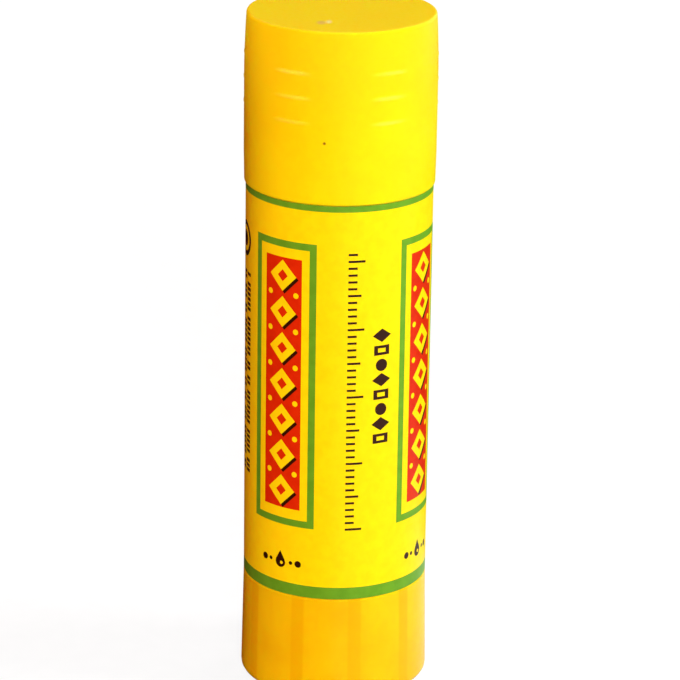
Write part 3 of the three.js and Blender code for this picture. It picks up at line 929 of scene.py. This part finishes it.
# %% [markdown]
# ## The screw and the carrier
# These two stay as they came from the CAD: the lead screw and the piston with its nut are
# true there to the last flank, and the barrel and the glue hide them. They only get a
# finish, the milky natural shade of plastic with no pigment.

# %% Natural plastic for the hidden pieces
natural_plastic = moulded(
    "natural plastic", paint(240, 238, 229), paint(229, 226, 214), 0.4, glow=0.5, glow_mm=1.2
)
for name in ("spindle", "piston"):
    for material_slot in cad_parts[name].material_slots:
        material_slot.material = natural_plastic
    print(f"{name} wears {natural_plastic.name}")

# %% [markdown]
# ## The cap
# The cap is a drafted cup with a rounded crown. For grip it has short raised lines in six
# columns of three, each highest in its middle and gone at both ends. They could be a bump
# map, but a bump never shows at the edge of the cap, against the background. So the outline
# gets extra points at each line's height, and the offset swells the wall there. Inside are
# the groove for the neck's bead and the thin seal ring.
# Its foot closes down on the barrel's shoulder, as the knob's rim does on the body.

# %% Make the cap
CAP_RADIUS = radius_of("cap")
CAP_FOOT, CAP_TOP = SHOULDER + CLOSED_GAP, heights_of("cap")[1]
CAP_SLICES = 288
CAP_BORE, CAP_CEILING, CEILING_DRAFT = 12.5, 97.6, 4
LEAD_IN, LEAD_IN_HEIGHT = 0.25, 0.5
MID_WALL = CAP_BORE + 0.6  # beyond this a point is on the outside
SEAL_INNER, SEAL_OUTER, SEAL_FOOT = 11.0, 11.8, 90.3
RIM_DRAFT, RIM_DRAFT_LENGTH = 0.08, 4.5
CROWN_DRAFT, SHOULDER_LENGTH = 0.3, 8.0
CROWN_EASING = 0.45
GRIP_COLUMNS = 6
FIRST_ROW_DOWN, ROW_DISTANCE = 6, 3.5
GRIP_ROWS = [CAP_TOP - FIRST_ROW_DOWN - ROW_DISTANCE * row for row in range(3)]
GRIP_HALF_SPAN = math.radians(14)
GRIP_RISE = 0.06
GRIP_HALF_HEIGHT = 0.35
GRIP_STEPS = 4


def cap_wall(height):
    """The wall's outer radius: a little less at the rim, and less again at the crown."""
    from_rim = max(0, 1 - (height - CAP_FOOT) / RIM_DRAFT_LENGTH)
    from_top = max(0, 1 - (CAP_TOP - height) / SHOULDER_LENGTH)
    return CAP_RADIUS - RIM_DRAFT * from_rim - CROWN_DRAFT * from_top**1.5


wall_heights = [CAP_FOOT + RIM_DRAFT_LENGTH / 2, CAP_FOOT + RIM_DRAFT_LENGTH]
wall_heights += [CAP_TOP - SHOULDER_LENGTH * share for share in (1, 0.5, 0.25)]
for row in GRIP_ROWS:
    for step in range(-GRIP_STEPS, GRIP_STEPS + 1):
        wall_heights.append(row + GRIP_HALF_HEIGHT * step / GRIP_STEPS)

cap_outline = eased([
    (cap_wall(CAP_FOOT), CAP_FOOT, 0.2),
    *((cap_wall(height), height, 0) for height in sorted(wall_heights)),
    (cap_wall(CAP_TOP), CAP_TOP, CROWN_EASING),
    (0, CAP_TOP, 0),
    (0, CAP_CEILING, 0),
    (SEAL_INNER, CAP_CEILING, 0.3),
    (SEAL_INNER, SEAL_FOOT, 0.1),
    ((SEAL_INNER + SEAL_OUTER) / 2, SEAL_FOOT, 0.15),
    (SEAL_OUTER, CAP_CEILING, 0.3),
    (CAP_BORE - CROWN_DRAFT, CAP_CEILING, 0.2),
    (CAP_BORE, CAP_CEILING - CEILING_DRAFT, 1),
    (CAP_BORE, BEAD_HEIGHT + BEAD_HALF, 0.4),
    (CAP_BORE + BEAD_RISE, BEAD_HEIGHT, 0.8),
    (CAP_BORE, BEAD_HEIGHT - BEAD_HALF, 0.4),
    (CAP_BORE, CAP_FOOT + LEAD_IN_HEIGHT, 0.3),
    (CAP_BORE + LEAD_IN, CAP_FOOT, 0.1),
])


def grip_line(angle, radius, height):
    if radius < MID_WALL:
        return 0
    from_row = min(abs(height - row) for row in GRIP_ROWS) / GRIP_HALF_HEIGHT
    from_column = abs(off_centre(angle, GRIP_COLUMNS, 0)) / GRIP_HALF_SPAN
    if from_row >= 1 or from_column >= 1:
        return 0
    return GRIP_RISE * math.cos(from_row * math.pi / 2) ** 2 * (1 - from_column**2)


cap = crisp(turned("push_on_cap", cap_outline, even_slices(CAP_SLICES), grip_line))
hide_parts("cap")
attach(cap, "cap")

# %% [markdown]
# The cap's plastic is the recipe again, in its own yellow. Above the glue the cap is hollow
# and its corner is thick, and a wash of painted shade over the plain colour, which grows
# with the height, makes the yellow deeper there. The grip lines get a painted highlight, a
# paler yellow, stronger in some places than in others.

# %% Yellow plastic, with painted shade at the crown and painted highlights on the grips
CROWN_SHADE_FOOT, CROWN_SHADE_FULL = GLUE_TOP - 3, GLUE_TOP + 5
GRIP_SHEEN_FULL, GRIP_SHEEN_END, GRIP_SHEEN_MIDDLE = 0.05, 0.45, 0.3
GRIP_SHEEN_MM = 6

cap_plastic = moulded(
    "cap plastic", paint(254, 226, 8), paint(252, 218, 6), 0.4, glow=0.5, glow_mm=1.2
)
cap_tree = cap_plastic.node_tree
height = add(cap_tree, "SeparateXYZ", {0: place_in(cap_tree)}).outputs["Z"]
# Painted shade: the yellow deepens with the height above the glue.
painted_crown_shade = between(cap_tree, height, CROWN_SHADE_FOOT * MM, CROWN_SHADE_FULL * MM)
lay_over(cap_plastic, painted_crown_shade, paint(251, 217, 11))
on_row = 0
for row in GRIP_ROWS:
    off_row = reckon(cap_tree, "ABSOLUTE", reckon(cap_tree, "SUBTRACT", height, row * MM))
    near = between(cap_tree, off_row, GRIP_SHEEN_FULL * MM, GRIP_SHEEN_END * MM, 1, 0)
    on_row = reckon(cap_tree, "MAXIMUM", on_row, near)
off_column = angle_off(cap_tree, GRIP_COLUMNS, 0)
middle = GRIP_HALF_SPAN * GRIP_SHEEN_MIDDLE
on_column = between(cap_tree, off_column, middle, GRIP_HALF_SPAN, 1, 0)
grip_sheen_strength = between(cap_tree, noise(cap_tree, GRIP_SHEEN_MM, 1), 0.35, 0.55, 0.5, 1)
on_line = reckon(cap_tree, "MULTIPLY", on_row, on_column)
# Painted highlight: a paler yellow along the grip lines, stronger in some places than in others.
lay_over(cap_plastic, reckon(cap_tree, "MULTIPLY", on_line, grip_sheen_strength), paint(255, 234, 64))

# %% [markdown]
# A dark speck is caught in the wall under the grip lines. The crown has a small nick near
# its front edge, made only of colour: painted shade in its dull hollow and a painted
# highlight on its raised pale lip. Each is a spot of colour at one place, and the squeeze
# makes it longer one way.

# %% Add the speck and the nick
SPECK_ANGLE, SPECK_HEIGHT = math.radians(-9.2), 83.5
NICK_PLACE = (-2.8, -7.7, CAP_TOP)
LIP_RIGHT, LIP_BACK = 1, 0.5

speck_place = from_front(SPECK_ANGLE, CAP_RADIUS, SPECK_HEIGHT)
lip_highlight_place = (NICK_PLACE[0] + LIP_RIGHT, NICK_PLACE[1] + LIP_BACK, CAP_TOP)
for place, inner_mm, outer_mm, squeeze, colour in (
    (speck_place, 0.05, 0.32, (1, 1, 1), paint(120, 85, 5)),
    # The nick's hollow: painted shade.
    (NICK_PLACE, 0.2, 1, (1, 0.6, 1), paint(228, 192, 84)),
    # The nick's lip: a painted highlight.
    (lip_highlight_place, 0.1, 0.7, (1, 0.5, 1), paint(255, 236, 150)),
):
    lay_over(cap_plastic, spot(cap_plastic, place, inner_mm, outer_mm, squeeze), colour)
    print(f"a spot {2 * outer_mm} mm across at {place[2]:.1f} mm")
cap.data.materials.append(cap_plastic)

# %% [markdown]
# ## Floor, world and lamps
# The stick stands on a plain white floor. Its diffuse part is only grey, so that it doesn't
# throw too much light up at the knob, and the rays that end in the camera see it with some
# light of its own added. That brings it to white and still leaves the shadow on it.

# %% Make the floor
FLOOR_HALF, FLOOR_DROP = 4.0, 0.00002
PAPER_DARK, PAPER_LIGHT, PAPER_MM, PAPER_SHINE = 0.19, 0.21, 3, 0.85

floor_corners = [
    (x * FLOOR_HALF, y * FLOOR_HALF, -FLOOR_DROP) for x, y in ((-1, -1), (1, -1), (1, 1), (-1, 1))
]
floor = new_object("floor", floor_corners, [(0, 1, 2, 3)])


def grey(level):
    return (level, level, level, 1)


def seen(tree):
    """1 for a ray that shows the background: straight, mirrored or through something."""
    rays = add(tree, "LightPath").outputs
    shown = reckon(tree, "MAXIMUM", rays["Is Camera Ray"], rays["Is Glossy Ray"])
    return reckon(tree, "MAXIMUM", shown, rays["Is Transmission Ray"])


floor_paper, floor_tree, not_needed = new_material("floor paper")
floor_tree.nodes.remove(not_needed)
paper_grain = between(floor_tree, noise(floor_tree, PAPER_MM), 0.3, 0.7)
paper_colour = mixed(floor_tree, paper_grain, grey(PAPER_DARK), grey(PAPER_LIGHT))
paper = add(floor_tree, "BsdfDiffuse", {"Color": paper_colour}).outputs[0]
own_light = reckon(floor_tree, "MULTIPLY", seen(floor_tree), PAPER_SHINE)
shine = add(floor_tree, "Emission", {"Strength": own_light}).outputs[0]
both = add(floor_tree, "AddShader", {0: paper, 1: shine}).outputs[0]
floor_tree.links.new(both, floor_tree.nodes["Material Output"].inputs["Surface"])
floor.data.materials.append(floor_paper)
print(f"the floor is {2 * FLOOR_HALF:.0f} m wide")

# %% [markdown]
# The world does the same: white where it is seen, dim where it lights. A little light from
# all round keeps the shadows from going black.

# %% Light the world
AMBIENT = 0.04
world = bpy.data.worlds.new("studio")
bpy.context.scene.world = world
world.use_nodes = True
world_tree = world.node_tree
backdrop = world_tree.nodes["Background"]
backdrop.inputs["Color"].default_value = (1, 1, 1, 1)
world_light = reckon(world_tree, "MAXIMUM", seen(world_tree), AMBIENT)
world_tree.links.new(world_light, backdrop.inputs["Strength"])
print(f"the world lights with {AMBIENT} of what it shows")

# %% [markdown]
# In the photograph the right side of the stick is bright, and the left edge is a deep orange
# with no sheen on it at all, so something dark stood on that side. Photographers do this
# with black card. This one lies on the floor to the left and behind the stick and stands up
# on both of those sides, because the edges of a round thing mirror what is beside and behind
# it. The camera looks through the card, and it throws no shadow.

# %% Stand up a dark card
CARD_LEFT, CARD_FRONT, CARD_BACK, CARD_HEIGHT = -0.4, -0.5, 0.9, 0.6
CARD_NEAR, CARD_END, CARD_BEHIND = 0, 0.3, 0.04
FELT_DARK, FELT_LIGHT, FELT_MM = 0.008, 0.016, 2

card_corners = [
    (CARD_NEAR, CARD_FRONT, 0), (CARD_NEAR, CARD_BACK, 0), (CARD_LEFT, CARD_BACK, 0),
    (CARD_LEFT, CARD_FRONT, 0), (CARD_LEFT, CARD_BACK, CARD_HEIGHT),
    (CARD_LEFT, CARD_FRONT, CARD_HEIGHT), (CARD_END, CARD_BACK, 0),
    (CARD_END, CARD_BACK, CARD_HEIGHT), (CARD_NEAR, CARD_BEHIND, 0), (CARD_END, CARD_BEHIND, 0),
]
card_faces = [(0, 1, 2, 3), (3, 2, 4, 5), (2, 6, 7, 4), (8, 9, 6, 1)]
card = new_object("dark_card", card_corners, card_faces)
card.visible_camera = False
card.visible_shadow = False

felt, felt_tree, felt_shader = new_material("black felt")
fibres = noise(felt_tree, FELT_MM)
felt_colour = mixed(felt_tree, fibres, grey(FELT_DARK), grey(FELT_LIGHT))
felt_tree.links.new(felt_colour, felt_shader.inputs["Base Color"])
set_inputs(felt_shader, {"Roughness": 1, "Specular IOR Level": 0})
card.data.materials.append(felt)
print(f"the card is {CARD_HEIGHT} m high")

# %% [markdown]
# The lamps are large and soft. The key lamp stands to the right, the front lamp fills in,
# and two weak warm ones give the shaded side the orange glow of light that has passed
# through yellow plastic. A lamp overhead lights the crown, and two behind keep the far side
# from going black. The key, front and back lamps aren't seen in mirrored rays: the
# photograph shows no glare from them, and the key lamp, mirrored at a shallow angle, would
# wash out the crown seen from the left.
# A lamp's strength is given here as the share of full light that it brings to a surface
# facing it, where 1 shows a colour as it is written. For an area lamp that takes pi squared
# times the distance squared in watts.

# %% Hang the lamps
LAMP_AIM = Vector((0, 0, 0.05))


def lamp(name, share, colour, azimuth, elevation, distance, size, mirrored):
    """Azimuth in degrees from the front, to the right; elevation above the table."""
    turn, rise = math.radians(azimuth), math.radians(elevation)
    away = from_front(turn, math.cos(rise), math.sin(rise))
    light = bpy.data.lights.new(name, "AREA")
    light.shape = "DISK"
    light.size = size
    light.energy = share * (math.pi * distance) ** 2
    light.color = colour
    made = put_in_scene(name, light)
    made.location = LAMP_AIM + away * distance
    made.rotation_euler = away.to_track_quat("Z", "Y").to_euler()
    made.visible_glossy = mirrored
    print(f"{name}: {light.energy:.1f} W")


WHITE_LIGHT, WARM_LIGHT = (1, 1, 1), (1, 0.2, 0.02)
# name, share, colour, azimuth, elevation, distance, size, mirrored
lamp("key_lamp", 0.77, WHITE_LIGHT, 84, 24, 1.1, 0.5, False)
lamp("front_lamp", 0.92, WHITE_LIGHT, 2, 20, 1.1, 0.5, False)
lamp("warm_lamp", 0.27, WARM_LIGHT, -75, 20, 1.1, 0.5, True)
lamp("warm_front_lamp", 0.27, WARM_LIGHT, -10, 20, 1.1, 0.5, True)
lamp("top_lamp", 0.14, WHITE_LIGHT, 60, 80, 1.1, 0.6, True)
lamp("right_back_lamp", 0.6, WHITE_LIGHT, 145, 8, 1.3, 0.7, False)
lamp("back_lamp", 0.6, WHITE_LIGHT, -172, 8, 1.3, 0.7, False)

# %% [markdown]
# Above the end of the glue, the real cap is hollow, and light that comes in at the back
# shines through to the shaded edge. Below that, the glue stops it. To trace such light
# through every wall would take very long, so a spot lamp stands in for it, from behind on
# the left, with its lower edge where the glue ends.

# %% Light the hollow top of the cap
BEAM_SHARE, BEAM_AZIMUTH, BEAM_DISTANCE, BEAM_RADIUS = 0.52, math.radians(-125), 0.5, 0.06
BEAM_FOOT, BEAM_SOFTNESS, BEAM_SOURCE = GLUE_TOP + 0.5, 0.1, 0.01

beam = bpy.data.lights.new("beam", "SPOT")
beam.energy = BEAM_SHARE * (2 * math.pi * BEAM_DISTANCE) ** 2
beam.spot_size = 2 * math.atan(BEAM_RADIUS / BEAM_DISTANCE)
beam.spot_blend = BEAM_SOFTNESS
beam.shadow_soft_size = BEAM_SOURCE
beam_lamp = put_in_scene("beam", beam)
beam_lamp.location = from_front(BEAM_AZIMUTH, BEAM_DISTANCE, BEAM_FOOT * MM + BEAM_RADIUS)
beam_lamp.rotation_euler = (math.pi / 2, 0, BEAM_AZIMUTH)
beam_lamp.visible_glossy = False
print(f"the beam's lower edge is {BEAM_FOOT:.1f} mm above the table")

# %% [markdown]
# ## The finish
# A colour should come out as it was written, so the view is Standard.

# %% Set the view and finish
bpy.context.scene.view_settings.view_transform = "Standard"
